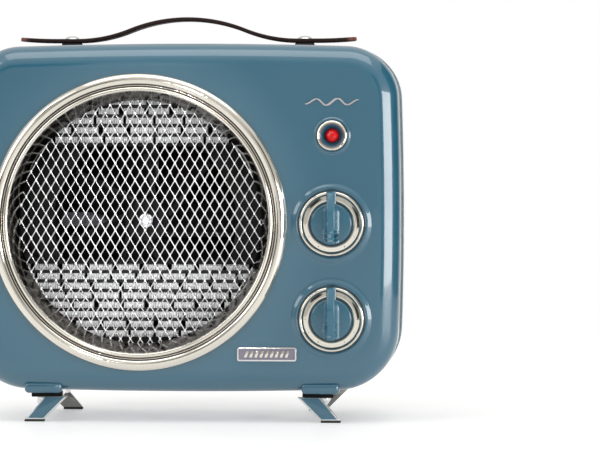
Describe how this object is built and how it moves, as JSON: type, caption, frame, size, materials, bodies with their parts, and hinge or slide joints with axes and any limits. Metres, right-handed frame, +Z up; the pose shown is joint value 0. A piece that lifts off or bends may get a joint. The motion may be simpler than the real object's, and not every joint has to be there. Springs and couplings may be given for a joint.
{
  "type": "ceramic space heater",
  "caption": "Retro-style ceramic fan heater: bowed blue case, round outlet with bright ring and diamond mesh, two turning knobs, pilot lamp, leather strap handle and splayed feet.",
  "frame": {"origin": "centre of the footprint, on the surface that the feet stand on", "axes": "+X to the right seen from the front, -Y is the front with the outlet and the knobs, +Z up"},
  "size_m": [0.312, 0.15, 0.289],
  "materials": {
    "body_paint": "glossy blue paint on moulded plastic",
    "pale_trim": "pale satin seam trim",
    "bright_ring": "polished, slightly warm plating",
    "mesh_steel": "bright expanded mesh",
    "dark_steel": "blackened sheet steel",
    "zinc_screws": "zinc-plated screws and nuts",
    "black_moulding": "heat-proof black moulding",
    "fin_aluminium": "bright corrugated fins",
    "heating_ceramic": "dark ceramic heating bars in a thin sleeve",
    "terminal_brass": "brass and bronze contact pieces",
    "motor_case": "plain steel case",
    "shaft_steel": "ground steel",
    "grey_moulding": "grey nylon moulding",
    "red_lens": "faceted translucent red lens",
    "badge_metal": "satin metal with a bright edge",
    "strap_leather": "dark brown smooth leather",
    "black_rubber": "black rubber",
    "foot_chrome": "polished plating with a painted front face",
    "body_moulding": "body-coloured moulding",
    "wire_sleeve": "insulated leads"
  },
  "bodies": {
    "root": {"front_shell": "body_paint", "rear_shell": "body_paint", "seam_trim": "pale_trim", "grille_ring": "bright_ring", "grille_mesh": "mesh_steel", "mesh_retainer": "dark_steel", "retainer_screws": "zinc_screws", "heater_frame": "black_moulding", "upper_fins": "fin_aluminium", "lower_fins": "fin_aluminium", "upper_ceramic_bars": "heating_ceramic", "lower_ceramic_bars": "heating_ceramic", "busbars": "terminal_brass", "fan_shroud": "black_moulding", "shroud_screws": "zinc_screws", "motor_bracket": "dark_steel", "fan_motor": "motor_case", "motor_bushes": "terminal_brass", "motor_screws": "zinc_screws", "rotary_switch": "black_moulding", "thermostat": "motor_case", "upper_dial_ring": "bright_ring", "lower_dial_ring": "bright_ring", "control_nuts": "zinc_screws", "lamp_bezel": "bright_ring", "lamp_lens": "red_lens", "lamp_body": "black_moulding", "badge_plate": "badge_metal", "flourish": "badge_metal", "handle_strap": "strap_leather", "strap_pads": "black_rubber", "strap_studs": "bright_ring", "stud_nuts": "zinc_screws", "left_foot": "foot_chrome", "right_foot": "foot_chrome", "foot_pads": "black_rubber", "foot_screws": "zinc_screws", "case_screws": "zinc_screws", "rear_grille": "body_moulding", "cord_gland": "black_rubber", "terminal_block": "grey_moulding", "thermal_cutout": "motor_case", "wiring": "wire_sleeve"},
    "selector": {"selector_knob": "body_paint", "selector_shaft": "shaft_steel"},
    "thermostat_dial": {"thermostat_knob": "body_paint", "thermostat_shaft": "shaft_steel"},
    "rotor": {"impeller": "black_moulding", "impeller_clip": "shaft_steel", "motor_shaft": "shaft_steel"}
  },
  "joints": [
    {"name": "selector_turn", "type": "hinge", "parent": "root", "child": "selector", "pos_m": [0.1067, -0.058, 0.1414], "axis": [0, 1, 0], "range_deg": [0, 270]},
    {"name": "thermostat_turn", "type": "hinge", "parent": "root", "child": "thermostat_dial", "pos_m": [0.1067, -0.058, 0.074], "axis": [0, 1, 0], "range_deg": [-135, 135]},
    {"name": "fan_spin", "type": "hinge", "parent": "root", "child": "rotor", "pos_m": [-0.0302, 0, 0.1422], "axis": [0, 1, 0], "continuous": true}
  ]
}
